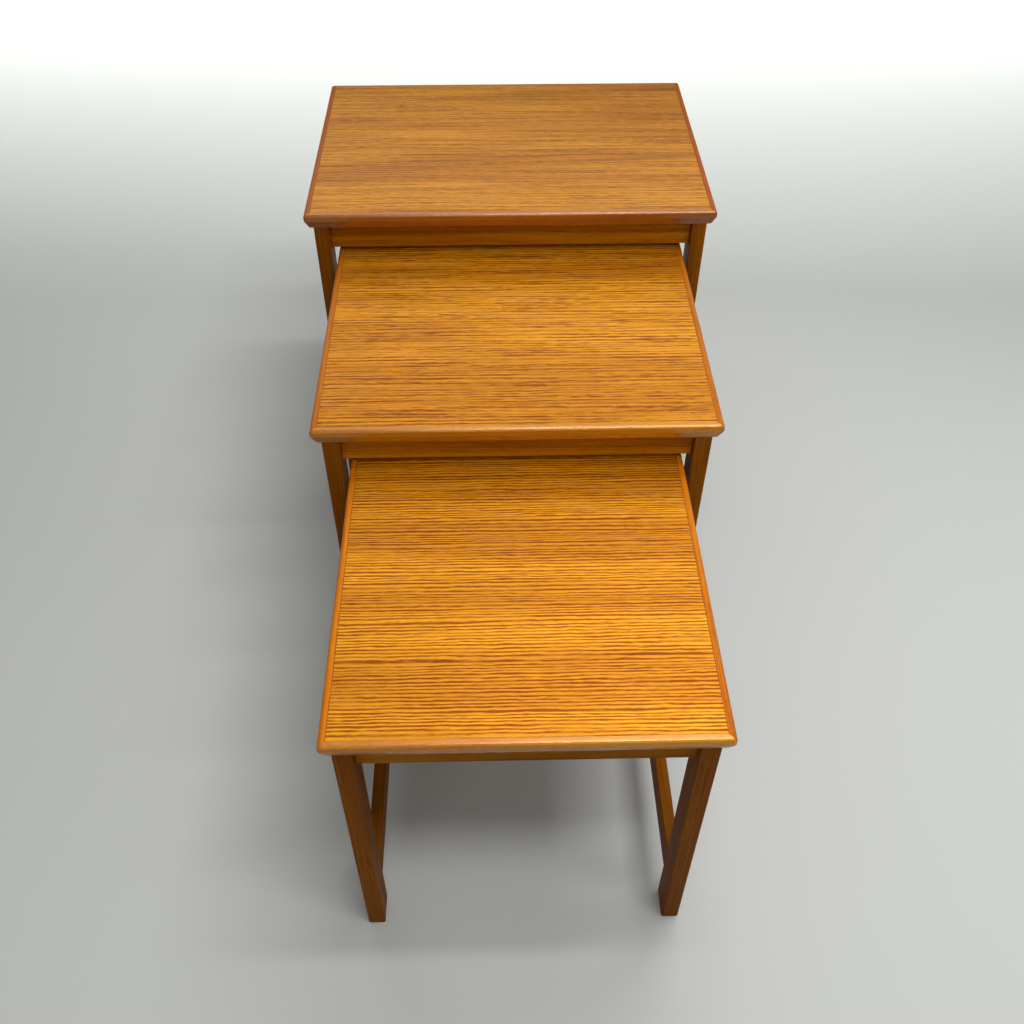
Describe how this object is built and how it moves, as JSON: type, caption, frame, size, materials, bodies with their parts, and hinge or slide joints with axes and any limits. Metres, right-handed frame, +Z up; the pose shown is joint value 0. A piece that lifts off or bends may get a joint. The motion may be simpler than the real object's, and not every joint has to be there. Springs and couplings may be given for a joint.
{
  "type": "nesting tables",
  "caption": "Nest of side tables with veneered tops in mitred edging, on straight legs joined by aprons and low side stretchers; each smaller table slides under the next.",
  "frame": {"origin": "on the floor, at the middle of the outline of the whole set as it stands pulled out in a row", "axes": "+X along the width of the tables, to the right as seen from the front; +Y from the front to the rear, so the smallest table stands at -Y and the largest at +Y; +Z up"},
  "size_m": [0.525, 1.075, 0.5],
  "materials": {
    "teak_veneer": "oiled, straight grain across the width",
    "solid_teak": "oiled, satin",
    "leg_teak": "oiled, darker, grain along each piece",
    "beech": "bare",
    "core_board": "bare board",
    "steel": "bare screw"
  },
  "bodies": {
    "large_table": {"large_top_core": "core_board", "large_top_veneer": "teak_veneer", "large_underside_veneer": "teak_veneer", "large_edging_front": "solid_teak", "large_edging_rear": "solid_teak", "large_edging_left": "solid_teak", "large_edging_right": "solid_teak", "large_leg_front_left": "leg_teak", "large_leg_front_right": "leg_teak", "large_leg_rear_left": "leg_teak", "large_leg_rear_right": "leg_teak", "large_apron_front": "leg_teak", "large_apron_rear": "leg_teak", "large_apron_left": "leg_teak", "large_apron_right": "leg_teak", "large_stretcher_left": "leg_teak", "large_stretcher_right": "leg_teak", "large_corner_blocks": "beech", "large_top_screws": "steel", "large_dowels": "beech"},
    "medium_table": {"medium_top_core": "core_board", "medium_top_veneer": "teak_veneer", "medium_underside_veneer": "teak_veneer", "medium_edging_front": "solid_teak", "medium_edging_rear": "solid_teak", "medium_edging_left": "solid_teak", "medium_edging_right": "solid_teak", "medium_leg_front_left": "leg_teak", "medium_leg_front_right": "leg_teak", "medium_leg_rear_left": "leg_teak", "medium_leg_rear_right": "leg_teak", "medium_apron_front": "leg_teak", "medium_apron_rear": "leg_teak", "medium_apron_left": "leg_teak", "medium_apron_right": "leg_teak", "medium_stretcher_left": "leg_teak", "medium_stretcher_right": "leg_teak", "medium_corner_blocks": "beech", "medium_top_screws": "steel", "medium_dowels": "beech"},
    "small_table": {"small_top_core": "core_board", "small_top_veneer": "teak_veneer", "small_underside_veneer": "teak_veneer", "small_edging_front": "solid_teak", "small_edging_rear": "solid_teak", "small_edging_left": "solid_teak", "small_edging_right": "solid_teak", "small_leg_front_left": "leg_teak", "small_leg_front_right": "leg_teak", "small_leg_rear_left": "leg_teak", "small_leg_rear_right": "leg_teak", "small_apron_front": "leg_teak", "small_apron_rear": "leg_teak", "small_apron_left": "leg_teak", "small_apron_right": "leg_teak", "small_stretcher_left": "leg_teak", "small_stretcher_right": "leg_teak", "small_corner_blocks": "beech", "small_top_screws": "steel", "small_dowels": "beech"}
  },
  "joints": [
    {"name": "medium_slide", "type": "slide", "parent": "large_table", "child": "medium_table", "axis": [0, 1, 0], "range_m": [-0.06, 0.342]},
    {"name": "small_slide", "type": "slide", "parent": "medium_table", "child": "small_table", "axis": [0, 1, 0], "range_m": [-0.06, 0.353]}
  ]
}
